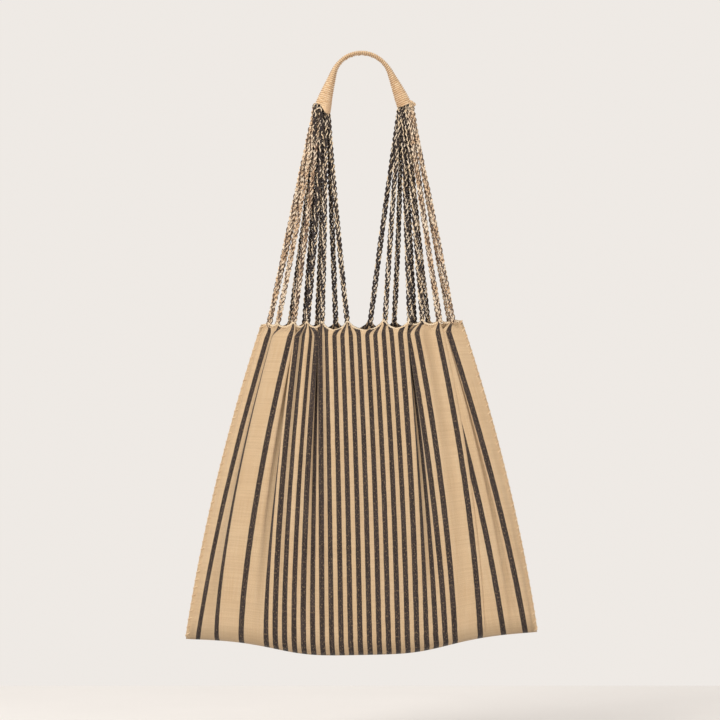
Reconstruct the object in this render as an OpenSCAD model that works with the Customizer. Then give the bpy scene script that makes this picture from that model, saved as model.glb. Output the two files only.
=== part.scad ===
// A handwoven market bag: one length of striped cloth folded at the bottom,
// overcast up both sides, with its warp ends braided into cords that gather
// into the two ends of a woven sleeve handle.
// X runs to the bag's right, Y to its back and Z up. The origin is the place
// on the underside of the handle that rests on a hook.

/* [Cloth] */
// Width of the bag from corner to corner of its bottom fold
bag_width = 400; // [340:1:480]
// Width of the gathered top edge
mouth_width = 228; // [190:1:260]
// Height from the bottom corners to the gathered top edge
side_height = 358; // [290:1:430]
// How far the middle of the bottom fold hangs below its corners
bottom_bow = 22; // [4:1:30]
// How far the side edges swell out between their ends
side_swell = 8; // [0:1:14]
// Thickness of the cloth
cloth_t = 1.2; // [0.8:0.1:2]
// Free depth between the two faces of the bag
pocket_depth = 11.6; // [9:0.1:16]

/* [Edges] */
// Width of the strip where the two selvedges meet at each side
seam_w = 5; // [3:0.5:8]
// Height of the strip of cloth that turns over at the bottom
fold_h = 3; // [2:0.5:6]
// Thickness of the sewing thread
thread_d = 1.2; // [0.8:0.1:1.6]
// Distance between the overcast stitches along a side
stitch_pitch = 9; // [6:0.5:14]
// Height of the twined thread that locks the top edge
header_h = 3; // [2:0.5:5]
// Thickness of the twined thread
header_t = 1; // [0.6:0.1:1.5]

/* [Cords] */
// Drop from the handle's ends to the top edge of the cloth
cord_drop = 241; // [200:1:300]
// Width of a braided cord where it leaves the cloth
cord_w = 7; // [5:0.1:8]
// Width of a cord squeezed into the bundle at the handle
cord_top_w = 3.6; // [2.5:0.1:3.7]
// Thickness of a cord
cord_t = 4.2; // [3:0.1:4.6]
// Width that one cord takes up in the bundle
bundle_pitch = 3.8; // [3.75:0.05:4.4]

/* [Handle] */
// Radius of the arch, to the middle of the strap
arch_r = 34; // [28:0.5:42]
// Angle by which each leg leans outwards
leg_lean = 20; // [12:1:26]
// Length of each straight leg
leg_length = 45; // [34:1:58]
// Width of the strap, front to back
strap_w = 17; // [12:0.5:18]
// Thickness of the strap over the arch
strap_t = 4.6; // [4:0.1:7]
// Thickness of the strap at the end of a leg
end_t = 16; // [9:0.5:18]
// Wall of the woven sleeve
sleeve_t = 1.1; // [0.8:0.1:1.4]
// Length of the rolled end that the cords hang from
end_roll_w = 20; // [16:0.5:26]
// Radius of the rolled end
end_roll_r = 6; // [4.5:0.1:7]
// Distance between the stitches that close the sleeve
closing_pitch = 8; // [5:0.5:12]

/* [Hidden] */
// Where each cord leaves the top edge, from the outside in on the left and
// from the middle out on the right, as shares of half the gathered width
front_left_spots = [0.94, 0.855, 0.69, 0.55, 0.40, 0.14];
front_right_spots = [0.235, 0.49, 0.62, 0.80, 0.93];
back_left_spots = [0.95, 0.73, 0.58, 0.45, 0.26];
back_right_spots = [0.085, 0.33, 0.54, 0.68, 0.79, 0.90];

function numbered(name, spots) = [for (i = [1 : len(spots)]) str(name, i)];

// Clearance between pieces that move apart, and between pieces that stay put
move_gap = 0.4;
fit_gap = 0.1;
// Room between a handle end and the cords that swing about it
swing_gap = 4;

// The arch and its legs
arch_z = strap_t / 2 - arch_r;
knee = [arch_r * cos(leg_lean), arch_z + arch_r * sin(leg_lean)];
leg_end = knee + leg_length * [sin(leg_lean), -cos(leg_lean)];
swing_z = leg_end[1];

// Heights of the cloth
mouth_z = swing_z - cord_drop;
corner_z = mouth_z - side_height;
lowest_z = corner_z - bottom_bow;

// The faces of cloth lie each side of the middle of the bag
face_y = pocket_depth / 2;
inner_y = face_y - move_gap;
panel_inset = thread_d + move_gap;

// Half the width of the bag at a height, and the points up one side of it,
// inset from that edge
function half_width(z) =
    let (share = (mouth_z - z) / side_height)
        (mouth_width + (bag_width - mouth_width) * share) / 2 + 4 * side_swell * share * (1 - share);
function side_points(side, low, inset, steps = 12) = [
    for (i = [0 : steps])
        let (z = low + (mouth_z - low) * i / steps) [side * (half_width(z) - inset), z]
];
function bow_z(x) = lowest_z + bottom_bow * pow(2 * x / bag_width, 2);
function bottom_points(inset, rise, steps = 24) = [
    for (i = [0 : steps])
        let (x = (bag_width / 2 - inset) * (2 * i / steps - 1)) [x, bow_z(x) + rise]
];
function reversed(list) = [for (i = [len(list) - 1 : -1 : 0]) list[i]];

// Points of one side of the arch, d away from the middle of the strap, where d
// grows from apex_d over the arch to end_d at the end of a leg
function arch_side(apex_d, end_d, steps = 28) = concat(
    [[-leg_end[0], leg_end[1]] + end_d * [-cos(leg_lean), sin(leg_lean)]],
    [for (i = [0 : steps])
        let (a = 180 - leg_lean - (180 - 2 * leg_lean) * i / steps)
            [0, arch_z] + (arch_r + apex_d) * [cos(a), sin(a)]],
    [leg_end + end_d * [cos(leg_lean), sin(leg_lean)]]
);

module strap_outline(shrink) {
    polygon(concat(
        arch_side(strap_t / 2 - shrink, end_t / 2 - shrink),
        reversed(arch_side(shrink - strap_t / 2, shrink - end_t / 2))
    ));
}

// A solid from an outline drawn in X and Z, centred front to back
module upright(depth) {
    rotate([90, 0, 0]) linear_extrude(depth, center = true) children();
}

// The room that the two end rolls take out of the strap and of its core
module end_seats(gap) {
    for (side = [-1, 1])
        translate([side * leg_end[0], 0, swing_z]) {
            rotate([0, 90, 0])
                cylinder(r = end_roll_r + gap, h = end_roll_w + 2 * gap, center = true, $fn = 48);
            translate([0, 0, -end_roll_r / 2])
                cube([2 * end_t, 2 * strap_w, 2 * end_roll_r], center = true);
        }
}

module handle_strap() {
    color([0.80, 0.66, 0.48])
        difference() {
            upright(strap_w) strap_outline(0);
            upright(strap_w - 2 * sleeve_t) strap_outline(sleeve_t);
            end_seats(fit_gap);
        }
}

module handle_core() {
    color([0.30, 0.24, 0.22])
        difference() {
            upright(strap_w - 2 * sleeve_t - 2 * fit_gap) strap_outline(sleeve_t + fit_gap);
            end_seats(2 * fit_gap);
        }
}

// Short stitches across the back edge of the strap
module handle_seam() {
    arch_length = arch_r * (180 - 2 * leg_lean) * PI / 180;
    count = floor(arch_length / closing_pitch);
    color([0.86, 0.78, 0.64])
        for (i = [0 : count - 1]) {
            a = leg_lean + (180 - 2 * leg_lean) * (i + 0.5) / count;
            translate([arch_r * cos(a), strap_w / 2 + thread_d / 2 + fit_gap / 2, arch_z + arch_r * sin(a)])
                rotate([0, 90 - a, 0])
                    cube([thread_d, thread_d, strap_t - 1], center = true);
        }
}

module handle_end(side) {
    color([0.74, 0.59, 0.42])
        translate([side * leg_end[0], 0, swing_z])
            rotate([0, 90, 0])
                cylinder(r = end_roll_r, h = end_roll_w, center = true, $fn = 48);
}
module handle_end_left() { handle_end(-1); }
module handle_end_right() { handle_end(1); }

module side_seam(side) {
    low = corner_z + fold_h + move_gap;
    edge = thread_d + fit_gap;
    color([0.84, 0.71, 0.54])
        upright(2 * inner_y)
            polygon(concat(
                side_points(side, low, edge),
                reversed(side_points(side, low, edge + seam_w))
            ));
}
module left_seam() { side_seam(-1); }
module right_seam() { side_seam(1); }

// Thread that passes from face to face round the edge
module side_stitches(side) {
    slope = atan((bag_width - mouth_width) / 2 / side_height);
    run = side_height / cos(slope);
    count = floor(run / stitch_pitch);
    color([0.88, 0.80, 0.66])
        for (i = [0 : count - 1]) {
            z = corner_z + side_height * (i + 0.5) / count;
            translate([side * (half_width(z) - thread_d / 2 / cos(slope)), 0, z])
                rotate([90, 0, 0])
                    cylinder(d = thread_d, h = 2 * (face_y + cloth_t), center = true, $fn = 16);
        }
}
module left_seam_stitches() { side_stitches(-1); }
module right_seam_stitches() { side_stitches(1); }

module bottom_fold() {
    inset = panel_inset + seam_w / 2;
    color([0.80, 0.66, 0.50])
        upright(2 * inner_y)
            polygon(concat(bottom_points(inset, 0), reversed(bottom_points(inset, fold_h))));
}

// One face of the bag, on the front where side is -1 and on the back where it is 1
module panel(side) {
    color([0.84, 0.71, 0.54])
        translate([0, side * (face_y + cloth_t / 2), 0])
            upright(cloth_t)
                polygon(concat(
                    bottom_points(panel_inset, 0),
                    side_points(1, corner_z + fold_h, panel_inset),
                    reversed(side_points(-1, corner_z + fold_h, panel_inset))
                ));
}
module front_panel() { panel(-1); }
module back_panel() { panel(1); }

module header(side) {
    reach = half_width(mouth_z) - panel_inset - 1;
    color([0.90, 0.83, 0.70])
        translate([0, side * (face_y + cloth_t + header_t / 2), mouth_z - header_h / 2])
            cube([2 * reach, header_t, header_h], center = true);
}
module front_header() { header(-1); }
module back_header() { header(1); }

// A cord from its place in the bundle to its spot on the top edge; place counts
// from the middle of the bundle in steps of one cord
module cord(spot, place, face) {
    end = sign(spot);
    top_x = end * leg_end[0] + place * bundle_pitch;
    low_x = spot * (mouth_width / 2 - panel_inset);
    top_y = face * (cord_t / 2 + move_gap / 2);
    low_y = face * (face_y + cloth_t / 2);
    hull() {
        translate([top_x, top_y, swing_z - end_roll_r - swing_gap])
            cube([cord_top_w, cord_t, 0.1], center = true);
        translate([low_x, low_y, mouth_z + move_gap + 0.1])
            cube([cord_w, cord_t, 0.1], center = true);
    }
}

module cord_row(name, spots, end, face, tone) {
    count = len(spots);
    for (i = [0 : count - 1])
        color(tone) cord(end * spots[i], i - (count - 1) / 2, face);
}

handle_strap();
handle_core();
handle_seam();
handle_end_left();
handle_end_right();
left_seam();
right_seam();
left_seam_stitches();
right_seam_stitches();
bottom_fold();
front_panel();
front_header();
back_panel();
back_header();
cord_row("front_cord_left_", front_left_spots, -1, -1, [0.62, 0.50, 0.38]);
cord_row("front_cord_right_", front_right_spots, 1, -1, [0.62, 0.50, 0.38]);
cord_row("back_cord_left_", back_left_spots, -1, 1, [0.30, 0.24, 0.22]);
cord_row("back_cord_right_", back_right_spots, 1, 1, [0.30, 0.24, 0.22]);
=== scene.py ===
import math
import random

import bpy
import numpy as np
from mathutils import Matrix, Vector


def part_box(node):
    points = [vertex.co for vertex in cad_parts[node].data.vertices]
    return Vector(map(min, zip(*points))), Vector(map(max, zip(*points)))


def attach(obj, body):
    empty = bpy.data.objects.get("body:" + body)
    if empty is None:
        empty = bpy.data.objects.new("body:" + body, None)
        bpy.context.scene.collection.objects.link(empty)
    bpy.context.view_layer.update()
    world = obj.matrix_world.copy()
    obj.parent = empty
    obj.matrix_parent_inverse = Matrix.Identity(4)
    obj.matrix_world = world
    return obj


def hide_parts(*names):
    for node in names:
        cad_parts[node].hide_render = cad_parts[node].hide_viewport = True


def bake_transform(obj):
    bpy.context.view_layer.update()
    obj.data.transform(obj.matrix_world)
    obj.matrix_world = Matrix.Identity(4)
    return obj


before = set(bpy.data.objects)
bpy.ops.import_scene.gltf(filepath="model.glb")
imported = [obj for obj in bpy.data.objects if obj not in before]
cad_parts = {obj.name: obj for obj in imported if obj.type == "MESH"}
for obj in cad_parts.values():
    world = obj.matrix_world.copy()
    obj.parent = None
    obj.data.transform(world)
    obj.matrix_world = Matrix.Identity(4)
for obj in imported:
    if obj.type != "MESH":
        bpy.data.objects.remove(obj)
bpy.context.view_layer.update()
mm = 0.001
print("frame loaded")

view = {"distance": 3200, "centreX": -1.7, "centreZ": -347.6, "width": 820.5, "sensor": 36}


def placeCamera(sizes):
    data = bpy.data.cameras.new("bagCamera")
    data.sensor_width = sizes["sensor"]
    data.lens = sizes["sensor"] * sizes["distance"] / sizes["width"]
    data.clip_end = 20
    holder = bpy.data.objects.new("bagCamera", data)
    holder.location = Vector((sizes["centreX"], -sizes["distance"], sizes["centreZ"])) * mm
    holder.rotation_euler = (math.pi / 2, 0, 0)
    bpy.context.scene.collection.objects.link(holder)
    bpy.context.scene.camera = holder


placeCamera(view)

# The heights that the frame gives, in millimetres
endLow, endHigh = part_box("handle_end_left")
swingZ = (endLow.z + endHigh.z) / 2 / mm
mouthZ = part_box("front_header")[1].z / mm
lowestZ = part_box("bottom_fold")[0].z / mm

bag = {
    "baseWidth": 400,
    "mouthWidth": 228,
    "bow": 22,
    "bowReach": 0.56,  # share of half the base where the bottom has risen half way
    "swell": 8,
    "tilt": 0.02,  # the left side hangs this much lower for each mm across
}


def feed(tree, socket, value):
    if isinstance(value, bpy.types.NodeSocket):
        tree.links.new(value, socket)
    else:
        socket.default_value = value


def addNode(tree, kind, **settings):
    node = tree.nodes.new(kind)
    for name, value in settings.items():
        setattr(node, name, value)
    return node


def calc(tree, operation, *values):
    node = addNode(tree, "ShaderNodeMath", operation=operation)
    for socket, value in zip(node.inputs, values):
        feed(tree, socket, value)
    return node.outputs[0]


def times(tree, first, second):
    return calc(tree, "MULTIPLY", first, second)


def plus(tree, first, second):
    return calc(tree, "ADD", first, second)


def minus(tree, first, second):
    return calc(tree, "SUBTRACT", first, second)


def over(tree, first, second):
    return calc(tree, "DIVIDE", first, second)


def vectorCalc(tree, operation, first, second):
    node = addNode(tree, "ShaderNodeVectorMath", operation=operation)
    feed(tree, node.inputs[0], first)
    feed(tree, node.inputs["Scale"] if operation == "SCALE" else node.inputs[1], second)
    return node.outputs[0]


def smoothRange(tree, value, low, high, start=0.0, end=1.0):
    node = addNode(tree, "ShaderNodeMapRange", interpolation_type="SMOOTHSTEP")
    labels = ("Value", "From Min", "From Max", "To Min", "To Max")
    for label, given in zip(labels, (value, low, high, start, end)):
        feed(tree, node.inputs[label], given)
    return node.outputs["Result"]


def startTree(name, inputs):
    tree = bpy.data.node_groups.new(name, "GeometryNodeTree")
    tree.interface.new_socket("Path", in_out="INPUT", socket_type="NodeSocketGeometry")
    for kind, labels in inputs.items():
        for label in labels:
            tree.interface.new_socket(label, in_out="INPUT", socket_type="NodeSocket" + kind)
    tree.interface.new_socket("Mesh", in_out="OUTPUT", socket_type="NodeSocketGeometry")
    return tree, addNode(tree, "NodeGroupInput").outputs, addNode(tree, "NodeGroupOutput").inputs[0]


def pathPoints(tree, path, step):
    curve = addNode(tree, "GeometryNodeMeshToCurve")
    even = addNode(tree, "GeometryNodeResampleCurve", mode="LENGTH")
    feed(tree, curve.inputs["Mesh"], path)
    feed(tree, even.inputs["Curve"], curve.outputs["Curve"])
    feed(tree, even.inputs["Length"], step)
    return even.outputs["Curve"]


def threadMesh(tree, curve, radius, sides, material, ending):
    ring = addNode(tree, "GeometryNodeCurvePrimitiveCircle")
    tube = addNode(tree, "GeometryNodeCurveToMesh")
    rounded = addNode(tree, "GeometryNodeSetShadeSmooth")
    real = addNode(tree, "GeometryNodeRealizeInstances")
    finish = addNode(tree, "GeometryNodeSetMaterial")
    ring.inputs["Resolution"].default_value = sides
    feed(tree, ring.inputs["Radius"], radius)
    feed(tree, tube.inputs["Curve"], curve)
    feed(tree, tube.inputs["Profile Curve"], ring.outputs["Curve"])
    tube.inputs["Fill Caps"].default_value = True
    feed(tree, rounded.inputs["Geometry"], tube.outputs["Mesh"])
    feed(tree, real.inputs["Geometry"], rounded.outputs["Geometry"])
    feed(tree, finish.inputs["Geometry"], real.outputs["Geometry"])
    feed(tree, finish.inputs["Material"], material)
    feed(tree, ending, finish.outputs["Geometry"])


def storeValue(tree, geometry, name, value):
    store = addNode(tree, "GeometryNodeStoreNamedAttribute", data_type="FLOAT", domain="POINT")
    store.inputs["Name"].default_value = name
    feed(tree, store.inputs["Geometry"], geometry)
    feed(tree, store.inputs["Value"], value)
    return store.outputs["Geometry"]


def sideAxes(tree, facing):
    tangent = addNode(tree, "GeometryNodeInputTangent").outputs[0]
    across = vectorCalc(tree, "CROSS_PRODUCT", tangent, facing)
    unit = addNode(tree, "ShaderNodeVectorMath", operation="NORMALIZE")
    feed(tree, unit.inputs[0], across)
    return unit.outputs[0], vectorCalc(tree, "CROSS_PRODUCT", tangent, unit.outputs[0])


def shiftPoints(tree, curve, axes, across, deep):
    place = addNode(tree, "GeometryNodeSetPosition")
    offset = vectorCalc(
        tree, "ADD", vectorCalc(tree, "SCALE", axes[0], across),
        vectorCalc(tree, "SCALE", axes[1], deep))
    feed(tree, place.inputs["Geometry"], curve)
    feed(tree, place.inputs["Offset"], offset)
    return place.outputs["Geometry"]


plaitForm = {
    "strandTurn": 0.41,  # turn of a strand's yarns from those of the strand before
    "changeFrom": 0.35,  # share of the path where the plait starts to thin and turn
    "sides": 6,
}


# A plait or a twist that follows a path: strands sway across it and yarns lie round each strand
def makePlaitTree():
    tree, given, ending = startTree("plaitedCord", {
        "Int": ("Strands", "Yarns"),
        "Float": ("Step", "Period", "Sway", "Rise", "Bundle", "Lay", "Thread", "Turn Start", "Turn End",
                  "Squeeze", "Dark Share", "Phase"),
        "Vector": ("Facing",),
        "Material": ("Material",),
    })
    copies = addNode(tree, "GeometryNodeDuplicateElements", domain="SPLINE")
    feed(tree, copies.inputs["Geometry"], pathPoints(tree, given["Path"], given["Step"]))
    feed(tree, copies.inputs["Amount"], times(tree, given["Strands"], given["Yarns"]))
    index = copies.outputs["Duplicate Index"]
    strand = calc(tree, "FLOOR", over(tree, plus(tree, index, 0.01), given["Yarns"]))
    yarn = minus(tree, index, times(tree, strand, given["Yarns"]))
    place = addNode(tree, "GeometryNodeSplineParameter")
    run = place.outputs["Length"]
    phase = times(tree, 2 * math.pi, plus(
        tree, over(tree, run, given["Period"]), over(tree, strand, given["Strands"])))
    laid = plus(tree, over(tree, run, given["Lay"]), given["Phase"])
    ownTurn = calc(
        tree, "MULTIPLY_ADD", strand, plaitForm["strandTurn"], over(tree, yarn, given["Yarns"]))
    roll = times(tree, 2 * math.pi, plus(tree, laid, ownTurn))
    lift = calc(tree, "SINE", times(tree, phase, 2))
    wide = calc(
        tree, "MULTIPLY_ADD", given["Sway"], calc(tree, "SINE", phase),
        times(tree, given["Bundle"], calc(tree, "COSINE", roll)))
    deep = calc(
        tree, "MULTIPLY_ADD", given["Rise"], lift,
        times(tree, given["Bundle"], calc(tree, "SINE", roll)))
    share = smoothRange(tree, place.outputs["Factor"], plaitForm["changeFrom"], 1.0)
    size = plus(tree, 1, times(tree, share, minus(tree, given["Squeeze"], 1)))
    swing = calc(
        tree, "MULTIPLY_ADD", share, minus(tree, given["Turn End"], given["Turn Start"]),
        given["Turn Start"])
    cosine, sine = calc(tree, "COSINE", swing), calc(tree, "SINE", swing)
    across = minus(tree, times(tree, wide, cosine), times(tree, deep, sine))
    inward = plus(tree, times(tree, wide, sine), times(tree, deep, cosine))
    moved = shiftPoints(
        tree, copies.outputs["Geometry"], sideAxes(tree, given["Facing"]),
        times(tree, across, size), times(tree, inward, size))
    order = over(tree, plus(tree, strand, 0.5), given["Strands"])
    rank = over(tree, plus(tree, yarn, order), given["Yarns"])
    inked = storeValue(tree, moved, "tone", calc(tree, "LESS_THAN", rank, given["Dark Share"]))
    # Painted shade: crest is 1 where a strand lies on top and falls where it dips under the others at a
    # crossing; the yarn material darkens its colour by it
    sunk = minus(tree, 1, calc(tree, "ABSOLUTE", lift))
    crest = minus(tree, 1, times(tree, sunk, calc(tree, "GREATER_THAN", given["Rise"], 0)))
    thin = addNode(tree, "GeometryNodeSetCurveRadius")
    feed(tree, thin.inputs["Curve"], storeValue(tree, inked, "crest", crest))
    feed(tree, thin.inputs["Radius"], size)
    threadMesh(
        tree, thin.outputs["Curve"], given["Thread"], plaitForm["sides"], given["Material"], ending)
    return tree


windingForm = {
    "stepsPerTurn": 22,
    "innerSide": (-0.35, 0.25),  # the thread turns browner where it goes round the inside
    "sides": 5,
}


# A thread wound closely round a path, on a tube that widens from its middle to its two ends
def makeWindingTree():
    tree, given, ending = startTree("woundThread", {
        "Float": ("Pitch", "Length", "Widening From", "Widening To", "Middle Thickness",
                  "End Thickness", "Middle Depth", "End Depth", "Roundness", "Thread"),
        "Material": ("Material",),
    })
    curve = pathPoints(tree, given["Path"], over(tree, given["Pitch"], windingForm["stepsPerTurn"]))
    place = addNode(tree, "GeometryNodeSplineParameter")
    fromMiddle = times(tree, given["Length"], calc(
        tree, "ABSOLUTE", minus(tree, place.outputs["Factor"], 0.5)))
    share = smoothRange(tree, fromMiddle, given["Widening From"], given["Widening To"])
    roll = times(tree, 2 * math.pi, over(tree, place.outputs["Length"], given["Pitch"]))
    outWave, sideWave = calc(tree, "COSINE", roll), calc(tree, "SINE", roll)

    def reach(middle, end, wave):
        half = times(tree, 0.5, calc(
            tree, "MULTIPLY_ADD", share, minus(tree, given[end], given[middle]), given[middle]))
        rounded = calc(tree, "POWER", calc(tree, "ABSOLUTE", wave), given["Roundness"])
        return times(tree, half, times(tree, calc(tree, "SIGN", wave), rounded))

    moved = shiftPoints(
        tree, curve, sideAxes(tree, (0, 1, 0)), reach("Middle Thickness", "End Thickness", outWave),
        reach("Middle Depth", "End Depth", sideWave))
    inner = smoothRange(tree, outWave, *windingForm["innerSide"], 1.0, 0.0)
    # A crest of 1 everywhere: no painted shade on the wound thread
    marked = storeValue(tree, storeValue(tree, moved, "tone", inner), "crest", 1.0)
    threadMesh(tree, marked, given["Thread"], windingForm["sides"], given["Material"], ending)
    return tree


def pathObject(name, paths, closed):
    points = [point for path in paths for point in path]
    edges, first = [], 0
    for path in paths:
        count = len(path)
        edges += [(first + i, first + i + 1) for i in range(count - 1)]
        if closed:
            edges.append((first + count - 1, first))
        first += count
    mesh = bpy.data.meshes.new(name)
    mesh.from_pydata([Vector(p) * mm for p in points], edges, [])
    return placeObject(name, mesh)


def placeObject(name, mesh):
    made = bpy.data.objects.new(name, mesh)
    bpy.context.scene.collection.objects.link(made)
    return made


def plainMesh(worker, name):
    bpy.context.view_layer.update()
    graph = bpy.context.evaluated_depsgraph_get()
    mesh = bpy.data.meshes.new_from_object(
        worker.evaluated_get(graph), preserve_all_data_layers=True, depsgraph=graph)
    old = worker.data
    bpy.data.objects.remove(worker)
    bpy.data.meshes.remove(old)
    mesh.name = name
    return placeObject(name, mesh)


def growPiece(name, tree, paths, values, closed=False):
    worker = pathObject(name + "Path", paths, closed)
    modifier = worker.modifiers.new("grow", "NODES")
    modifier.node_group = tree
    for socket in tree.interface.items_tree:
        if socket.in_out == "INPUT" and socket.name in values:
            modifier[socket.identifier] = values[socket.name]
    return plainMesh(worker, name)


plaitTree = makePlaitTree()
windingTree = makeWindingTree()
print("node trees made")


def startMaterial(name, roughness, sheen, specular=0.25):
    material = bpy.data.materials.new(name)
    material.use_nodes = True
    tree = material.node_tree
    shader = tree.nodes["Principled BSDF"]
    shader.inputs["Roughness"].default_value = roughness
    shader.inputs["Sheen Weight"].default_value = sheen
    shader.inputs["Sheen Roughness"].default_value = 0.5
    shader.inputs["Specular IOR Level"].default_value = specular
    return material, tree, shader


def noise(tree, vector, scale, detail=3.0, roughness=0.6):
    node = addNode(tree, "ShaderNodeTexNoise")
    feed(tree, node.inputs["Vector"], vector)
    node.inputs["Scale"].default_value = scale
    node.inputs["Detail"].default_value = detail
    node.inputs["Roughness"].default_value = roughness
    return node.outputs["Fac"]


def stretched(tree, vector, scale):
    node = addNode(tree, "ShaderNodeMapping")
    feed(tree, node.inputs["Vector"], vector)
    node.inputs["Scale"].default_value = scale
    return node.outputs["Vector"]


def mixColours(tree, share, first, second, blend="MIX"):
    node = addNode(tree, "ShaderNodeMix", data_type="RGBA", blend_type=blend)
    feed(tree, node.inputs["Factor"], share)
    sockets = [socket for socket in node.inputs if socket.type == "RGBA"]
    feed(tree, sockets[0], first)
    feed(tree, sockets[1], second)
    return [socket for socket in node.outputs if socket.type == "RGBA"][0]


def roughen(tree, shader, height, distance, strength=1.0):
    bump = addNode(tree, "ShaderNodeBump")
    bump.inputs["Strength"].default_value = strength
    bump.inputs["Distance"].default_value = distance
    feed(tree, bump.inputs["Height"], height)
    feed(tree, shader.inputs["Normal"], bump.outputs["Normal"])


def readMark(tree, name):
    return addNode(tree, "ShaderNodeAttribute", attribute_name=name).outputs["Fac"]


def flatPlace(tree):
    flat = addNode(tree, "ShaderNodeUVMap", uv_map="flat").outputs["UV"]
    parts = addNode(tree, "ShaderNodeSeparateXYZ")
    feed(tree, parts.inputs[0], flat)
    return flat, parts.outputs


# Multiplies the colour by a grey of the given shade, which holds painted shade
def shadedBase(tree, shader, colour, shade):
    grey = addNode(tree, "ShaderNodeCombineColor")
    for socket in grey.inputs[:3]:
        feed(tree, socket, shade)
    feed(tree, shader.inputs["Base Color"], mixColours(tree, 1.0, colour, grey.outputs[0], "MULTIPLY"))


yarnColours = {
    "tan": (0.72, 0.485, 0.265, 1),
    "paleTan": (0.865, 0.665, 0.435, 1),
    "dark": (0.030, 0.020, 0.018, 1),
    "softDark": (0.085, 0.062, 0.055, 1),
    "wheat": (0.72, 0.50, 0.31, 1),
    "straw": (0.93, 0.78, 0.60, 1),
    "cream": (0.86, 0.72, 0.53, 1),
    "brown": (0.50, 0.31, 0.18, 1),
    "umber": (0.10, 0.058, 0.042, 1),
    "softUmber": (0.24, 0.145, 0.10, 1),
}

stripes = {
    "pitch": 10.65, "lastDense": 112, "firstWide": 135, "widePitch": 28.5, "wideFrom": 120,
    "plainBy": 20,  # added to the distance past the last dense stripe, so that none shows there
    "halfWidth": 3.0, "softness": 0.25, "wobble": 0.7, "warpPitch": 0.92, "weftPitch": 1.7,
    "warpRoundness": 0.6, "weftRoundness": 0.5, "relief": 0.0005,
}
# Each noise of the cloth: its scale across and along the warp, and its detail
clothNoise = {
    "drift": ((250, 60, 1), 2.0), "streaks": ((1300, 22, 1), 2.0), "patches": ((14, 14, 1), 3.0),
    "flecks": ((800, 420, 1), 2.0), "ribs": ((18, 620, 1), 1.0),
}
# Each tone of the cloth: the range of its noise, and the least and most of the tone
clothTones = {
    "pale": (0.2, 0.8, 0.1, 0.6), "patches": (0.3, 0.75, 0.0, 0.35), "ribs": (0.35, 0.7, 0.0, 0.2),
    "ink": (0.35, 0.75), "specks": (0.52, 0.68), "speckShare": 0.42,
}
# Light left in the gaps of the weave, in the folds and on the underside, up to a height above it
clothShade = {"gaps": 0.62, "gapsTo": 0.7, "folds": 0.78, "underside": 0.74, "undersideTo": 26}


def nearestStripe(tree, across, pitch):
    share = calc(tree, "FRACT", plus(tree, over(tree, across, pitch), 0.5))
    return times(tree, pitch, calc(tree, "ABSOLUTE", minus(tree, share, 0.5)))


# 1 in a stripe and 0 between the stripes, for a place in mm across the flat cloth
def inStripe(tree, place, sizes):
    outward = calc(tree, "ABSOLUTE", place)
    dense = nearestStripe(tree, place, sizes["pitch"])
    wide = nearestStripe(tree, minus(tree, outward, sizes["firstWide"]), sizes["widePitch"])
    isWide = calc(tree, "GREATER_THAN", outward, sizes["wideFrom"])
    beyond = times(tree, calc(tree, "GREATER_THAN", outward, sizes["lastDense"]), sizes["plainBy"])
    reach = plus(
        tree, times(tree, wide, isWide), times(tree, plus(tree, dense, beyond), minus(tree, 1, isWide)))
    half, soft = sizes["halfWidth"], sizes["softness"]
    return smoothRange(tree, reach, half - soft, half + soft, 1.0, 0.0)


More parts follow.
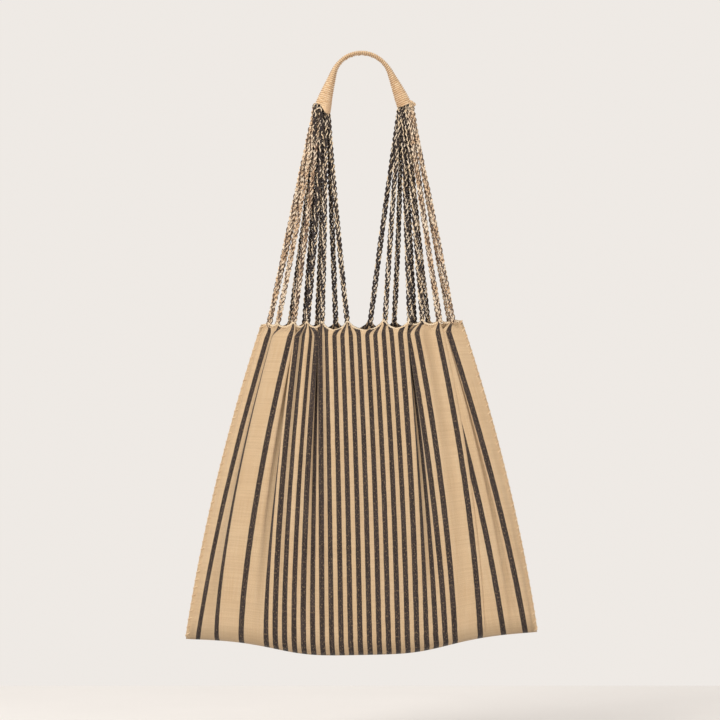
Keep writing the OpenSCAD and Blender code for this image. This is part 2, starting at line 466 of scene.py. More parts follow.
# Striped cloth: its own map gives the place in the flat cloth, in metres
def makeClothMaterial(sizes):
    material, tree, shader = startMaterial("stripedCloth", 0.88, 0.12)
    flat, place = flatPlace(tree)
    across, along = times(tree, place["X"], 1000), times(tree, place["Y"], 1000)
    grain = {
        name: noise(tree, stretched(tree, flat, scale), 1.0, detail)
        for name, (scale, detail) in clothNoise.items()
    }
    wobble = times(tree, minus(tree, grain["drift"], 0.5), sizes["wobble"])
    dark = inStripe(tree, plus(tree, across, wobble), sizes)
    warpPlace = over(tree, across, sizes["warpPitch"])
    warpNumber = calc(tree, "FLOOR", plus(tree, warpPlace, 1000))
    oddWarp = times(tree, 0.5, calc(tree, "MODULO", warpNumber, 2))
    weftPlace = plus(tree, over(tree, along, sizes["weftPitch"]), oddWarp)
    warpRound = calc(tree, "ABSOLUTE", calc(tree, "SINE", times(tree, warpPlace, math.pi)))
    weftRound = calc(tree, "ABSOLUTE", calc(tree, "SINE", times(tree, weftPlace, math.pi)))
    weave = times(
        tree, calc(tree, "POWER", warpRound, sizes["warpRoundness"]),
        calc(tree, "POWER", weftRound, sizes["weftRoundness"]))
    tan = mixColours(
        tree, smoothRange(tree, grain["streaks"], *clothTones["pale"]), yarnColours["tan"],
        yarnColours["paleTan"])
    for name, colour in (("patches", "paleTan"), ("ribs", "brown")):
        tan = mixColours(
            tree, smoothRange(tree, grain[name], *clothTones[name]), tan, yarnColours[colour])
    ink = mixColours(
        tree, smoothRange(tree, grain["streaks"], *clothTones["ink"]), yarnColours["dark"],
        yarnColours["softDark"])
    specks = times(
        tree, smoothRange(tree, grain["flecks"], *clothTones["specks"]),
        minus(tree, 1, times(tree, weftRound, 0.5)))
    ink = mixColours(tree, times(tree, specks, clothTones["speckShare"]), ink, yarnColours["tan"])
    # Painted shade: the colour darkens in the gaps between the threads of the weave, in the folds, and
    # towards the bottom edge where the cloth rounds under
    shade = times(
        tree, smoothRange(tree, weave, 0.0, clothShade["gapsTo"], clothShade["gaps"], 1.0),
        smoothRange(tree, readMark(tree, "paintedFoldShade"), 0.0, 1.0, 1.0, clothShade["folds"]))
    shade = times(tree, shade, smoothRange(
        tree, along, 0.0, clothShade["undersideTo"], clothShade["underside"], 1.0))
    shadedBase(tree, shader, mixColours(tree, dark, tan, ink), shade)
    height = plus(tree, times(tree, weave, 0.8), plus(
        tree, times(tree, grain["flecks"], 0.4), times(tree, grain["ribs"], 0.5)))
    roughen(tree, shader, height, sizes["relief"])
    return material


yarnGrain = {
    "fine": 1500, "broad": 90, "relief": 0.0004, "paleRange": (0.35, 0.65), "softRange": (0.4, 0.75),
    "fineShade": (0.25, 0.6, 0.72, 1.0), "crestShade": (0.05, 0.7, 0.2, 1.0),
}


# Yarn: marks on the threads say which are dark and which lie on the crest of a plait; the crest mark
# gives painted shade where a strand dips under the others
def makeYarnMaterial(name, light, pale, dark, softDark):
    material, tree, shader = startMaterial(name, 0.85, 0.15)
    place = addNode(tree, "ShaderNodeTexCoord").outputs["Object"]
    fine = noise(tree, place, yarnGrain["fine"], 2.0)
    broad = noise(tree, place, yarnGrain["broad"], 2.0)
    bright = mixColours(tree, smoothRange(tree, broad, *yarnGrain["paleRange"]), light, pale)
    deep = mixColours(tree, smoothRange(tree, fine, *yarnGrain["softRange"]), dark, softDark)
    colour = mixColours(tree, readMark(tree, "tone"), bright, deep)
    # Darkening from fine noise, times painted shade where a strand dips under the others at a crossing
    shade = times(
        tree, smoothRange(tree, fine, *yarnGrain["fineShade"]),
        smoothRange(tree, readMark(tree, "crest"), *yarnGrain["crestShade"]))
    shadedBase(tree, shader, colour, shade)
    roughen(tree, shader, fine, yarnGrain["relief"])
    return material


sleeveGrain = {
    "warps": 32, "grain": (60, 300, 1), "inside": (-0.7, 0.5, 0.7, 0.0), "relief": 0.0004,
}


# Sleeve: paler on the outside of the arch, browner on the inside, with fine lengthwise warp
def makeSleeveMaterial():
    material, tree, shader = startMaterial("sleeveWeave", 0.85, 0.12)
    flat, place = flatPlace(tree)
    around = times(tree, place["X"], 2 * math.pi)
    inside = smoothRange(tree, calc(tree, "COSINE", around), *sleeveGrain["inside"])
    warp = calc(tree, "ABSOLUTE", calc(tree, "SINE", times(tree, around, sleeveGrain["warps"] / 2)))
    grain = noise(tree, stretched(tree, flat, sleeveGrain["grain"]), 1.0, 3.0)
    base = mixColours(tree, grain, yarnColours["tan"], yarnColours["paleTan"])
    feed(tree, shader.inputs["Base Color"], mixColours(tree, inside, base, yarnColours["brown"]))
    roughen(tree, shader, plus(tree, warp, grain), sleeveGrain["relief"])
    return material


def yarnOf(name, *colours):
    return makeYarnMaterial(name, *(yarnColours[colour] for colour in colours))


clothLook = makeClothMaterial(stripes)
cordLook = yarnOf("darkBraidYarn", "paleTan", "straw", "dark", "softDark")
paleCordLook = yarnOf("lightBraidYarn", "wheat", "straw", "umber", "softUmber")
creamLook = yarnOf("creamThread", "cream", "paleTan", "dark", "softDark")
weftLook = yarnOf("sleeveWeft", "wheat", "paleTan", "tan", "brown")
sleeveLook = makeSleeveMaterial()
print("materials made")


def smooth(value):
    value = np.clip(value, 0, 1)
    return value * value * (3 - 2 * value)


def halfWidth(share):
    spread = bag["baseWidth"] - bag["mouthWidth"]
    return (bag["mouthWidth"] + spread * share) / 2 + 4 * bag["swell"] * share * (1 - share)


def bottomZ(x):
    reach = np.abs(x) / (bag["baseWidth"] / 2) / bag["bowReach"]
    edge = 1 / (1 + bag["bowReach"] ** -4)
    drop = (1 / (1 + reach ** 4) - edge) / (1 - edge)
    return lowestZ + bag["bow"] * (1 - drop) + bag["tilt"] * x


# Shares of half the gathered width where the cords leave the cloth, as the frame has them
cordSpots = {
    "front_cord_left_": [0.94, 0.855, 0.69, 0.55, 0.40, 0.14],
    "front_cord_right_": [0.235, 0.49, 0.62, 0.80, 0.93],
    "back_cord_left_": [0.95, 0.73, 0.58, 0.45, 0.26],
    "back_cord_right_": [0.085, 0.33, 0.54, 0.68, 0.79, 0.90],
}
# Share of dark yarns in each cord, from the outside in on the left and the middle out on the right
darkShares = {
    "front_cord_left_": [0.34, 0.25, 0.45, 0.8, 0.7, 0.65],
    "front_cord_right_": [0.7, 0.65, 0.55, 0.34, 0.3],
    "back_cord_left_": [0.45, 0.6, 0.8, 0.7, 0.8],
    "back_cord_right_": [0.8, 0.7, 0.8, 0.55, 0.3, 0.25],
}
cords = {
    "reach": bag["mouthWidth"] / 2 - 1.6,
    "endX": {-1: -46.2, 1: 50.6},
    "bundlePitch": 3.8,
    "topY": 2.1,
    "lowY": 6.4,
    "bundleDrop": 10,
    "tipRise": 3,
    "sink": 5,
    "steps": 22,
    "diameter": 6.4,
    "bow": 1.6,
    "billow": 1.5,
    "tipIn": 0.2,
    "turnStart": 0.4,
    "turnMore": (0.5, 1.1),
    "lightBelow": 0.5,
}
plait = {
    "Strands": 3, "Yarns": 3, "Step": 0.0011, "Period": 0.0192, "Sway": 0.0021, "Rise": 0.0013,
    "Bundle": 0.00070, "Lay": 0.041, "Thread": 0.00066, "Squeeze": 0.76, "Facing": (0, 1, 0),
    "Phase": 0.0, "Material": cordLook,
}


def cordPlaces(row):
    end = -1 if "left" in row else 1
    return [end * spot * cords["reach"] for spot in cordSpots[row]]


def faceCords(face):
    return cordPlaces(face + "_cord_left_") + cordPlaces(face + "_cord_right_")


def cordPath(lowX, place, side, end, bow):
    shift = place * cords["bundlePitch"]
    low = Vector((lowX, side * cords["lowY"], mouthZ - cords["sink"] + bag["tilt"] * lowX))
    high = Vector((cords["endX"][end] + shift, side * cords["topY"], swingZ - cords["bundleDrop"]))
    tip = high + Vector((-cords["tipIn"] * shift, 0, cords["bundleDrop"] + cords["tipRise"]))
    points = []
    for i in range(cords["steps"] + 1):
        share = i / cords["steps"]
        arch = math.sin(math.pi * share)
        point = low.lerp(high, share)
        point.x += bow * arch
        point.y += side * cords["billow"] * arch
        points.append(point)
    return points + [high.lerp(tip, 0.5), tip]


print("cords placed")

cloth = {
    "flatHalf": 212, "columns": 330, "rows": 92, "length": 380, "thick": 1.2, "edgeY": 0.7,
    "rowShares": (0.5, 0.35, 0.65),  # even, close at both ends, close at the top
    "foldRadius": 5.4, "foldShare": 0.8, "foldRise": 15, "bellyRise": 34, "edgePower": 8,
    "ripple": 0.9, "rippleAcross": 29, "rippleAlong": 61,
    "creaseAt": 116, "creaseDepth": 1.1, "creaseWidth": 3.5,
    "held": 4, "free": 60,  # distance from a selvedge where a face's share starts and ends its rise from 0 to 1
    "shadeReach": 9, "shadeDepth": 8, "shadeEdge": 0.14,
}
gather = {
    "height": 17, "across": 0.92, "deep": 0.85, "peak": 1.8,
    "endValley": 1.5, "leastValley": 1.2, "deepValley": 10.5, "valleyGrowth": (0.06, 0.24),
    "valleyPower": 2.2, "evenPull": 0.22, "edgePull": 0.78, "edgePower": 5,
    "keptDepth": 0.22, "middleDepth": 8, "bulge": 1.4,
    "tuftFolds": 6.4, "tuftDepth": 0.9, "tuftFade": 0.6,
}
flatX = np.linspace(-cloth["flatHalf"], cloth["flatHalf"], cloth["columns"] + 1)
# Pleats of the front. Each has its start across the flat cloth, its width and the share of it that
# is hidden, at the fold and at the top, how fast it grows upwards and how deep it sinks
pleats = [
    {"start": (-206, -195), "width": (54, 50), "hidden": (0.14, 0.62), "growth": 0.6, "depth": 0.16,
     "step": True},
    {"start": (-123, -133), "width": (24, 36), "hidden": (0.0, 0.86), "growth": 0.95, "depth": 0.5},
    {"start": (-96, -96), "width": (16, 16), "hidden": (0.0, 0.30), "growth": 1.1, "depth": 0.8},
    {"start": (-80, -80), "width": (16, 16), "hidden": (0.0, 0.30), "growth": 1.1, "depth": 0.8},
    {"start": (-64, -64), "width": (21, 21), "hidden": (0.0, 0.88), "growth": 1.75, "depth": 0.8},
    {"start": (-43, -43), "width": (16, 16), "hidden": (0.0, 0.26), "growth": 1.0, "depth": 0.7},
    {"start": (-27, -27), "width": (21.5, 21.5), "hidden": (0.0, 0.11), "growth": 0.9, "depth": 0.5},
    {"start": (-5.5, -5.5), "width": (21.5, 21.5), "hidden": (0.0, 0.11), "growth": 0.9, "depth": 0.5},
    {"start": (16, 16), "width": (21.5, 21.5), "hidden": (0.0, 0.11), "growth": 0.9, "depth": 0.5},
    {"start": (37.5, 37.5), "width": (21.5, 21.5), "hidden": (0.0, 0.11), "growth": 0.9, "depth": 0.5},
    {"start": (68, 70), "width": (28, 27), "hidden": (0.0, 0.87), "growth": 1.3, "depth": 0.6},
    {"start": (110, 110), "width": (21, 21), "hidden": (0.0, 0.2), "growth": 0.8, "depth": 0.7},
    {"start": (140, 139), "width": (3, 38), "hidden": (0.7, 0.87), "growth": 0.85, "depth": 0.5},
    {"start": (168, 177), "width": (22, 13), "hidden": (0.18, 0.78), "growth": 1.0, "depth": 0.6},
]
# The two ends of a face turn in to the seams: width, share hidden at the fold and at the top, depth
turnIns = {"left": (17, 0.26, 0.44, 0.4), "right": (17, 0.40, 0.0, 0.6)}
# Where the flat cloth parts from one cord to the next, front and back
partings = {
    "front": [-212, -186, -159, -118, -58.5, -26.5, 16, 58.5, 90.5, 118, 155, 212],
    "back": [-212, -172, -131, -98, -66, -28, 14, 56, 88, 118, 150, 212],
}


def bend(hidden):
    return 2 * np.sqrt(2 * (1 - np.sqrt(1 - hidden)))


def between(pair, share):
    return pair[0] + (pair[1] - pair[0]) * share


# Directions of the cloth across each row, so that it folds without stretching, and how deep each
# part of it sinks
def foldedRows(heights, mirrored):
    turned = np.zeros((len(heights), len(flatX)))
    sink = np.ones_like(turned)
    flip = -1 if mirrored else 1
    for pleat in pleats:
        grown = heights[:, None] ** pleat["growth"]
        first, width = between(pleat["start"], grown), between(pleat["width"], grown)
        place = ((flip * flatX)[None, :] - first) / width
        inside = (place >= 0) & (place <= 1)
        stepped = pleat.get("step", False)
        wave = -np.sin(math.pi * place) if stepped else np.sin(2 * math.pi * place)
        turned += np.where(inside, flip * bend(between(pleat["hidden"], grown)) * wave, 0)
        sink = np.where(inside, pleat["depth"], sink)
    for end, (width, low, high, depth) in turnIns.items():
        sign = -1 if (end == "left") != mirrored else 1
        first = -cloth["flatHalf"] if sign < 0 else cloth["flatHalf"] - width
        inside = (flatX >= first) & (flatX <= first + width)
        wave = np.where(inside, np.sin(math.pi * (flatX - first) / width), 0)
        turned += sign * bend(between((low, high), heights[:, None])) * wave[None, :]
        sink = np.where(inside[None, :], depth, sink)
    return turned, sink


def runAlong(values, step):
    middles = (values[:, 1:] + values[:, :-1]) / 2 * step
    return np.concatenate([np.zeros((len(values), 1)), np.cumsum(middles, axis=1)], axis=1)


def rowHeights():
    even, bothEnds, top = cloth["rowShares"]
    spread = np.linspace(0, 1, cloth["rows"] + 1)
    nearEnds = bothEnds * (1 - np.cos(math.pi * spread)) / 2
    heights = even * spread + (1 - even) * (nearEnds + top * np.sin(math.pi * spread / 2))
    return heights / heights[-1]


# How deep the top edge hangs between the cords
def edgeValleys(spots):
    middle, more = gather["valleyGrowth"]
    valleys = [gather["endValley"]]
    for a, b in zip(spots, spots[1:]):
        inner = 1 - ((a + b) / 2 / cords["reach"]) ** 2
        valley = gather["leastValley"] + (middle + more * inner) * (b - a)
        valleys.append(min(gather["deepValley"], valley))
    return valleys + [gather["endValley"]]


# The top edge gathers to the cords: where each part is pulled, how far it dips, and its distance
# from its cord, from 0 to 1
def gatheredEdge(face, halfMouth):
    spots, cuts = faceCords(face), partings[face]
    meets = [-halfMouth] + [(a + b) / 2 for a, b in zip(spots, spots[1:])] + [halfMouth]
    valleys = edgeValleys(spots)
    pulled, dip, off = 0 * flatX, 0 * flatX, 0 * flatX
    for i, spot in enumerate(spots):
        inside = (flatX >= cuts[i]) & (flatX <= cuts[i + 1])
        place = (flatX - (cuts[i] + cuts[i + 1]) / 2) / ((cuts[i + 1] - cuts[i]) / 2)
        meet = np.where(place < 0, meets[i], meets[i + 1])
        valley = np.where(place < 0, valleys[i], valleys[i + 1])
        far = np.abs(place)
        pull = gather["evenPull"] * far + gather["edgePull"] * far ** gather["edgePower"]
        rise = gather["peak"] * (1 - far) ** 2
        pulled = np.where(inside, spot + (meet - spot) * pull, pulled)
        dip = np.where(inside, valley * far ** gather["valleyPower"] - rise, dip)
        off = np.where(inside, far, off)
    return pulled, dip, off


def clothPoints(face):
    side = -1 if face == "front" else 1
    heights = rowHeights()
    step = flatX[1] - flatX[0]
    turned, sink = foldedRows(heights, face == "back")
    x = runAlong(np.cos(turned), step)
    y = runAlong(np.sin(turned) * sink, step)
    half = halfWidth(1 - heights)[:, None]
    x = x / x[:, -1:] * 2 * half - half
    y = y - y[:, -1:] * (flatX + cloth["flatHalf"]) / (2 * cloth["flatHalf"])
    along = heights[:, None] * cloth["length"] + 0 * x
    inFromEdge = 1 - (np.abs(flatX) / cloth["flatHalf"]) ** cloth["edgePower"]
    rounded = np.sqrt(1 - (1 - np.clip(along / cloth["foldRise"], 0, 1)) ** 2)
    y = y * (1 - np.exp(-along / cloth["bellyRise"]))
    y -= cloth["foldRadius"] * cloth["foldShare"] * rounded * inFromEdge
    y -= cloth["edgeY"] * rounded
    ripple = np.sin(flatX / cloth["rippleAcross"] + along / cloth["rippleAlong"])
    y -= cloth["ripple"] * ripple * np.sin(math.pi * heights)[:, None] * inFromEdge
    crease = np.exp(-((along - cloth["creaseAt"]) / cloth["creaseWidth"]) ** 2)
    y += cloth["creaseDepth"] * crease * inFromEdge
    pulled, dip, off = gatheredEdge(face, half[-1, 0])
    gathered = smooth((along - cloth["length"] + gather["height"]) / gather["height"])
    x = x + (pulled - x) * gathered * gather["across"]
    folds = gather["tuftDepth"] * np.sin(2 * math.pi * flatX / gather["tuftFolds"])
    folds = folds * (1 - gather["tuftFade"] * off)
    kept = gather["keptDepth"] * (y + gather["middleDepth"]) - cords["lowY"]
    drawn = kept + gather["bulge"] * off + folds
    y = y + (drawn - y) * gathered * gather["deep"] * inFromEdge
    x = np.clip(x, -half, half)
    topZ = mouthZ + bag["tilt"] * x
    z = bottomZ(x) + (topZ - bottomZ(x)) * heights[:, None]
    z -= dip * gathered ** 2
    return heights, np.stack([x, side * -y, z], axis=-1)


# How far each part lies behind the cloth on either side of it, from 0 at the front of a fold to 1, for
# the painted shade in the folds
def foldDepth(points):
    out = np.abs(points[..., 1])
    reach = cloth["shadeReach"]
    padded = np.pad(out, ((0, 0), (reach, reach)), mode="edge")
    nearest = np.max([padded[:, k:k + out.shape[1]] for k in range(2 * reach + 1)], axis=0)
    return smooth((nearest - out) / cloth["shadeDepth"])


def gridMesh(name, points, flatY, outward):
    rows, columns = points.shape[:2]
    mesh = bpy.data.meshes.new(name)
    faces = []
    for j in range(rows - 1):
        for i in range(columns - 1):
            a, b = j * columns + i, (j + 1) * columns + i
            faces.append((a, a + 1, b + 1, b) if outward else (a, b, b + 1, a + 1))
    mesh.from_pydata(points.reshape(-1, 3) * mm, [], faces)
    across = np.tile(flatX, rows)
    along = np.repeat(flatY, columns)
    layer = mesh.uv_layers.new(name="flat")
    corner = np.zeros(len(mesh.loops), int)
    mesh.loops.foreach_get("vertex_index", corner)
    layer.data.foreach_set("uv", (np.stack([across[corner], along[corner]], axis=-1) * mm).ravel())
    # Painted shade in the folds, faded out near the selvedges; the cloth's material darkens its colour
    # by it
    nearEdge = smooth((1 - np.abs(flatX) / cloth["flatHalf"]) / cloth["shadeEdge"])
    paintedFoldShade = (foldDepth(points) * nearEdge).ravel()
    for label, values in (("flatX", across), ("paintedFoldShade", paintedFoldShade)):
        marks = mesh.attributes.new(label, "FLOAT", "POINT")
        marks.data.foreach_set("value", values.astype(np.float32))
    mesh.polygons.foreach_set("use_smooth", [True] * len(mesh.polygons))
    return mesh


def edgeShare(across):
    inward = cloth["flatHalf"] - np.abs(across)
    return np.clip((inward - cloth["held"]) / (cloth["free"] - cloth["held"]), 0, 1)


# Writes a piece's shares into the x of its points, bakes the object's transform into its mesh and puts
# the points back
def blendByShares(piece, shares):
    places = np.zeros(len(piece.data.vertices) * 3, np.float32)
    piece.data.vertices.foreach_get("co", places)
    flat = np.zeros_like(places)
    flat[0::3] = shares
    piece.data.vertices.foreach_set("co", flat)
    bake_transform(piece)
    piece.data.vertices.foreach_set("co", places)
    piece.data.update()


def makeCloth(face):
    heights, points = clothPoints(face)
    mesh = gridMesh(face + "Cloth", points, heights * cloth["length"], face == "front")
    worker = placeObject(face + "ClothFlat", mesh)
    mesh.materials.append(clothLook)
    wall = worker.modifiers.new("wall", "SOLIDIFY")
    wall.thickness = cloth["thick"] * mm
    wall.offset = 0
    piece = plainMesh(worker, face + "Cloth")
    across = np.zeros(len(piece.data.vertices), np.float32)
    piece.data.attributes["flatX"].data.foreach_get("value", across)
    blendByShares(piece, edgeShare(across))
    return piece, points


frontCloth, frontPoints = makeCloth("front")
backCloth, backPoints = makeCloth("back")
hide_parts("front_panel", "bottom_fold")
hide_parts("back_panel")
print("cloth made")


# Twined thread along the top edges
header = {"below": 1.6, "proud": 1.1, "fromEdge": 2, "every": 2}
twine = {
    "Strands": 1, "Yarns": 2, "Step": 0.0007, "Period": 1.0, "Sway": 0.0, "Rise": 0.0,
    "Bundle": 0.0006, "Lay": 0.0055, "Thread": 0.00068, "Turn Start": 0.0, "Turn End": 0.0,
    "Squeeze": 1.0, "Dark Share": 0.0, "Phase": 0.0, "Facing": (0, 1, 0), "Material": creamLook,
}


def makeHeader(face, points):
    side = -1 if face == "front" else 1
    used = slice(header["fromEdge"], -header["fromEdge"], header["every"])
    rim = points[-1][used] + np.array([0, side * header["proud"], -header["below"]])
    piece = growPiece(face + "Header", plaitTree, [[Vector(p) for p in rim]], twine)
    places = np.array([v.co for v in piece.data.vertices]) / mm
    near = [int(np.argmin(((rim - p) ** 2).sum(axis=1))) for p in places]
    blendByShares(piece, edgeShare(flatX[used][near]))
    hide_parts(face + "_header")
    return piece


frontHeader = makeHeader("front", frontPoints)
backHeader = makeHeader("back", backPoints)
print("headers made")

draw = random.Random(11)


def makeCordRow(row):
    face = row.split("_")[0]
    side, end = (-1 if face == "front" else 1), (-1 if "left" in row else 1)
    spots = cordPlaces(row)
    offset = 0 if end < 0 else len(faceCords(face)) - len(spots)
    for i, lowX in enumerate(spots):
        cuts = partings[face][offset + i:offset + i + 2]
        node = row + str(i + 1)
        bow = draw.uniform(-1, 1) * cords["bow"]
        path = cordPath(lowX, i - (len(spots) - 1) / 2, side, end, bow)
        turnStart = draw.uniform(-cords["turnStart"], cords["turnStart"])
        values = dict(plait, Phase=draw.random())
        values["Turn Start"] = turnStart
        values["Turn End"] = turnStart + draw.choice((-1, 1)) * draw.uniform(*cords["turnMore"])
        values["Dark Share"] = darkShares[row][i]
        isLight = darkShares[row][i] < cords["lightBelow"]
        values["Material"] = paleCordLook if isLight else cordLook
        piece = growPiece(node.replace("_", "") + "Braid", plaitTree, [path], values)
        share = float(edgeShare(np.array([(cuts[0] + cuts[1]) / 2]))[0])
        blendByShares(piece, np.full(len(piece.data.vertices), share))
        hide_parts(node)


for row in cordSpots:
    makeCordRow(row)
print("cords made")

seam = {
    "inset": 1.6, "radiusX": 2.2, "radiusY": 1.6, "steps": 60, "roundness": 0.9, "sides": 14,
    "topDrop": 2, "lowRise": 2, "flatAt": 200.5, "flatSway": 4,
}
whip = dict(twine, Yarns=1, Bundle=0.0023, Lay=0.009, Thread=0.00062, Step=0.0008, Material=weftLook)


# A tube of changing size along a path, with its own map: share round it, and metres along it
def sweepMesh(name, path, sizes, roundness, closedLoop, around):
    path = np.array(path)
    count = len(path)
    onward = np.roll(path, -1, axis=0) - np.roll(path, 1, axis=0)
    if not closedLoop:
        onward[0], onward[-1] = path[1] - path[0], path[-1] - path[-2]
    onward /= np.linalg.norm(onward, axis=1)[:, None]
    deepWay = np.array([0, 1.0, 0])
    normal = np.cross(onward, deepWay)
    normal /= np.linalg.norm(normal, axis=1)[:, None]
    angles = np.arange(around) * 2 * math.pi / around
    cosine = np.sign(np.cos(angles)) * np.abs(np.cos(angles)) ** roundness
    sine = np.sign(np.sin(angles)) * np.abs(np.sin(angles)) ** roundness
    rings = [
        path[k] + sizes[k][0] * cosine[:, None] * normal[k] + sizes[k][1] * sine[:, None] * deepWay
        for k in range(count)
    ]
    points = np.concatenate(rings)
    faces = []
    for k in range(count if closedLoop else count - 1):
        here, ahead = k * around, (k + 1) % count * around
        for i in range(around):
            beside = (i + 1) % around
            faces.append((here + i, here + beside, ahead + beside, ahead + i))
    if not closedLoop:
        faces.append(tuple(reversed(range(around))))
        faces.append(tuple((count - 1) * around + i for i in range(around)))
    mesh = bpy.data.meshes.new(name)
    mesh.from_pydata(points * mm, [], faces)
    run = np.concatenate([[0], np.cumsum(np.linalg.norm(np.diff(path, axis=0), axis=1))])
    layer = mesh.uv_layers.new(name="flat")
    for polygon in mesh.polygons:
        for corner, vertex in zip(polygon.loop_indices, polygon.vertices):
            layer.data[corner].uv = ((vertex % around) / around, run[vertex // around] * mm)
        polygon.use_smooth = len(polygon.vertices) == 4
    return placeObject(name, mesh)


def makeSideSeam(name, end):
    shares = np.linspace(0, 1, seam["steps"] + 1)
    x = end * (halfWidth(shares) - seam["inset"])
    top = mouthZ - seam["topDrop"] + bag["tilt"] * x
    z = top * (1 - shares) + (bottomZ(x[-1]) + seam["lowRise"]) * shares
    path = np.stack([x, 0 * x, z], axis=-1)
    sizes = [(seam["radiusX"], seam["radiusY"])] * len(path)
    edge = sweepMesh(name + "Selvedge", path, sizes, seam["roundness"], False, seam["sides"])
    edge.data.materials.append(clothLook)
    for item in edge.data.uv_layers["flat"].data:
        sway = seam["flatSway"] * math.cos(2 * math.pi * item.uv.x)
        item.uv = ((end * seam["flatAt"] + sway) * mm, item.uv.y)
    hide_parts(name + "_seam")
    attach(edge, "bag")
    thread = growPiece(name + "WhipStitches", plaitTree, [[Vector(p) for p in path]], whip)
    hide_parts(name + "_seam_stitches")
    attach(thread, "bag")


makeSideSeam("left", -1)
makeSideSeam("right", 1)
print("seams made")

handle = {
    "radius": 34, "apexZ": 2.3, "lean": 20, "leg": 40, "legSteps": 40, "arcSteps": 84,
    "legX": 47.33, "spreadOver": 62,  # the legs move out from this x to the ends, over this height
    "middleThick": 4.4, "endThick": 16.6, "middleDepth": 16.4, "endDepth": 14.5,
    "widenFrom": 25, "widenTo": 84, "wall": 1.1, "roundness": 0.85, "sides": 32,
    "weftPitch": 2.3, "weftThread": 0.62, "underWeft": 0.35,
}
# The tongue of the sleeve that hangs over the inner side of the left end
flap = {"run": 16, "drop": 8, "from": 4, "edge": 2, "fade": 7, "inward": 0.12}


def handlePath():
    lean, radius = math.radians(handle["lean"]), handle["radius"]
    centre = handle["apexZ"] - radius
    knee = Vector((radius * math.cos(lean), 0, centre + radius * math.sin(lean)))
    down = Vector((math.sin(lean), 0, -math.cos(lean)))
    steps, turns = handle["legSteps"], handle["arcSteps"]
    right = [knee + down * handle["leg"] * share / steps for share in range(1, steps + 1)]
    left = [Vector((-p.x, 0, p.z)) for p in reversed(right)]
    angles = [lean + (math.pi - 2 * lean) * i / turns for i in range(turns + 1)]
    arc = [Vector((-radius * math.cos(a), 0, centre + radius * math.sin(a))) for a in angles]
    path = left + arc + right
    for point in path:  # the right leg leans a little further out than the left one
        fall = float(smooth((handle["apexZ"] - point.z) / handle["spreadOver"]))
        end = 1 if point.x > 0 else -1
        point.x += fall * (cords["endX"][end] - end * handle["legX"])
    return path


def sleeveSizes(path, less):
    run = np.concatenate([[0], np.cumsum([(b - a).length for a, b in zip(path, path[1:])])])
    fromMiddle = np.abs(run - run[-1] / 2)
    away = smooth((fromMiddle - handle["widenFrom"]) / (handle["widenTo"] - handle["widenFrom"]))
    thick = between((handle["middleThick"], handle["endThick"]), away)
    depth = between((handle["middleDepth"], handle["endDepth"]), away)
    return [(t / 2 - less, d / 2 - less) for t, d in zip(thick, depth)], run[-1]


def hangFlap(sleeve):
    for vertex in sleeve.data.vertices:
        fall = vertex.co.z / mm - (swingZ + flap["from"])
        inward = vertex.co.x / mm - cords["endX"][-1]
        if vertex.co.x < 0 and fall < flap["run"]:
            edge = float(smooth((inward + flap["edge"]) / flap["fade"]))
            share = (1 - max(fall, 0) / flap["run"]) * edge
            vertex.co.z -= flap["drop"] * share * mm
            vertex.co.x += flap["inward"] * flap["drop"] * share * mm


weftSizes = {
    "Pitch": "weftPitch", "Widening From": "widenFrom", "Widening To": "widenTo",
    "Middle Thickness": "middleThick", "End Thickness": "endThick", "Middle Depth": "middleDepth",
    "End Depth": "endDepth", "Thread": "weftThread",
}


def makeSleeve():
    path = handlePath()
    outer, length = sleeveSizes(path, handle["underWeft"])
    inner, length = sleeveSizes(path, handle["underWeft"] + handle["wall"])
    sleeve = sweepMesh(
        "handleSleeve", [list(p) for p in path + path[::-1]],
        outer + [(-a, b) for a, b in inner[::-1]], handle["roundness"], True, handle["sides"])
    hangFlap(sleeve)
    sleeve.data.materials.append(sleeveLook)
    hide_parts("handle_strap")
    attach(sleeve, "handle")
    values = {label: handle[size] * mm for label, size in weftSizes.items()}
    weft = growPiece("sleeveWeft", windingTree, [path], dict(
        values, Length=length * mm, Roundness=handle["roundness"], Material=weftLook))
    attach(weft, "handle")
    return path


sleevePath = makeSleeve()


def shiftedPath(path, deep, trim):
    return [Vector(p) + Vector((0, deep, 0)) for p in path[trim:len(path) - trim]]


closing = {"inward": 0.6, "trim": 42}
core = {"deep": (-4.2, 0, 4.2), "trim": 4}


def makeHandleSeam():
    deep = handle["middleDepth"] / 2 - closing["inward"]
    edge = shiftedPath(sleevePath, deep, closing["trim"])
    thread = growPiece("handleClosingStitches", plaitTree, [edge], dict(whip, Bundle=0.0018, Lay=0.008))
    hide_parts("handle_seam")
    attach(thread, "handle")


def makeCore():
    paths = [shiftedPath(sleevePath, deep, core["trim"]) for deep in core["deep"]]
    piece = growPiece("handleCore", plaitTree, paths, dict(
        plait, Step=0.0016, Sway=0.0009, Rise=0.0004, Bundle=0.0005, Thread=0.0005, Squeeze=1.0,
        **{"Turn Start": 0.0, "Turn End": 0.0, "Dark Share": 0.6}))
    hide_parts("handle_core")
    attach(piece, "handle")


ends = {"radius": 2.9, "pitch": 3.8, "count": 5, "points": 40, "tuck": 2.2}


# The angle at each point of a ring
def ringAngles(count):
    return [2 * math.pi * k / count for k in range(count)]


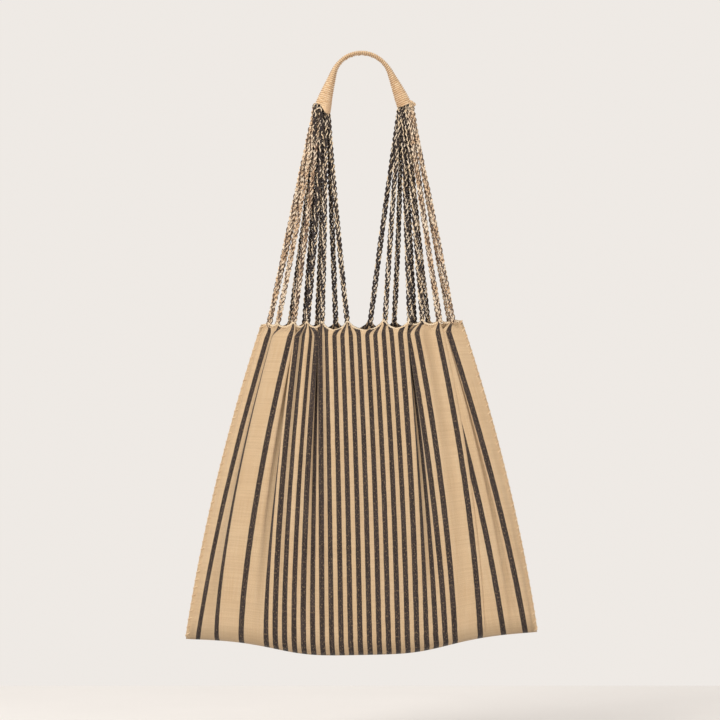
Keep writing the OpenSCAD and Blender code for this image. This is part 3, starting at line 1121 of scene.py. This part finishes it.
def makeEnd(name, end, darkShare):
    radius = ends["radius"]
    rings = []
    for i in range(ends["count"]):
        x = cords["endX"][end] + (i - (ends["count"] - 1) / 2) * ends["pitch"]
        rings.append([
            Vector((x, radius * math.sin(a), swingZ + ends["tuck"] + radius * math.cos(a)))
            for a in ringAngles(ends["points"])
        ])
    around = 2 * math.pi * radius * mm
    wraps = growPiece("handleEnd" + name, plaitTree, rings, dict(
        plait, Step=0.001, Period=around / 2, Lay=around, Squeeze=1.0, Facing=(1, 0, 0),
        Sway=0.0015, Rise=0.0009, Bundle=0.0007, Thread=0.0005,
        **{"Turn Start": 0.3, "Turn End": 0.3, "Dark Share": darkShare}), closed=True)
    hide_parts("handle_end_" + name.lower())
    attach(wraps, "handle")


# A dark cord doubled over the front of the left end, and the small knot that closes the right one
loop = {
    "x": -49.6, "halfWidth": 3.4, "top": 0.4, "drop": 34, "y": -6.2, "steps": 12,
    "legX": (-3.6, 5.6), "legY": (-5.4, -5.2),
}
knot = {"x": 57.4, "y": -4.5, "z": -56.5, "radius": 1.9, "points": 26}


def makeEndDetails():
    side, low = loop["halfWidth"], swingZ - loop["drop"]
    angles = [math.pi * i / loop["steps"] for i in range(loop["steps"] + 1)]
    middle = swingZ + loop["top"] - side
    arc = [
        Vector((loop["x"] - side * math.cos(a), loop["y"], middle + side * math.sin(a))) for a in angles
    ]
    legs = [Vector((loop["x"] + x, y, low)) for x, y in zip(loop["legX"], loop["legY"])]
    turned = {"Turn Start": 1.2, "Turn End": 1.2, "Dark Share": 0.8}
    piece = growPiece("leftEndLoop", plaitTree, [legs[:1] + arc + legs[1:]], dict(
        plait, Squeeze=1.0, Sway=0.0014, **turned))
    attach(piece, "bag")
    radius = knot["radius"]
    ring = [
        Vector((knot["x"] + radius * math.cos(a), knot["y"], knot["z"] + radius * math.sin(a)))
        for a in ringAngles(knot["points"])
    ]
    around = 2 * math.pi * radius * mm
    tie = growPiece("rightEndKnot", plaitTree, [ring], dict(
        plait, Step=0.0006, Period=around, Lay=around, Squeeze=1.0, Sway=0.0012, Bundle=0.0006,
        Thread=0.0006, Material=weftLook,
        **{"Turn Start": 0.6, "Turn End": 0.6, "Dark Share": 0.0}), closed=True)
    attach(tie, "handle")


makeEndDetails()
makeHandleSeam()
makeCore()
makeEnd("Left", -1, 0.7)
makeEnd("Right", 1, 0.4)
print("handle made")

studio = {
    "floorZ": -800, "floorX": (-2000, 2000), "floorY": (-2600, 700), "floorNoise": 6.0,
    "floorColours": ((0.84, 0.82, 0.80, 1), (0.88, 0.86, 0.84, 1)),
    "worldColour": (1.0, 0.955, 0.91, 1), "worldStrength": 0.86,
}
lights = {
    "keyLight": {
        "place": (-0.75, -1.0, 0.7), "aim": (0, 0, -0.2), "size": 0.5, "power": 14,
        "colour": (1, 0.98, 0.95),
    },
    "fillLight": {
        "place": (1.6, -1.6, 0.3), "aim": (0, 0, -0.35), "size": 1.6, "power": 5,
        "colour": (0.98, 0.98, 1),
    },
}


def makeStudio():
    (left, right), (near, far) = studio["floorX"], studio["floorY"]
    corners = [(left, near), (right, near), (right, far), (left, far)]
    mesh = bpy.data.meshes.new("floor")
    mesh.from_pydata([Vector((x, y, studio["floorZ"])) * mm for x, y in corners], [], [(0, 1, 2, 3)])
    floor = placeObject("floor", mesh)
    material, tree, shader = startMaterial("paleFloor", 0.8, 0.0)
    place = addNode(tree, "ShaderNodeTexCoord").outputs["Object"]
    patches = noise(tree, place, studio["floorNoise"])
    feed(tree, shader.inputs["Base Color"], mixColours(tree, patches, *studio["floorColours"]))
    mesh.materials.append(material)
    world = bpy.data.worlds.new("paleRoom")
    bpy.context.scene.world = world
    world.use_nodes = True
    back = world.node_tree.nodes["Background"]
    back.inputs["Color"].default_value = studio["worldColour"]
    back.inputs["Strength"].default_value = studio["worldStrength"]


def addSoftLight(name, light):
    data = bpy.data.lights.new(name, "AREA")
    data.size = light["size"]
    data.energy = light["power"]
    data.color = light["colour"]
    holder = bpy.data.objects.new(name, data)
    holder.location = light["place"]
    aim = Vector(light["aim"]) - Vector(light["place"])
    holder.rotation_euler = aim.to_track_quat("-Z", "Y").to_euler()
    bpy.context.scene.collection.objects.link(holder)


makeStudio()
bpy.context.scene.view_settings.view_transform = "Standard"
for name, light in lights.items():
    addSoftLight(name, light)
print("studio made")
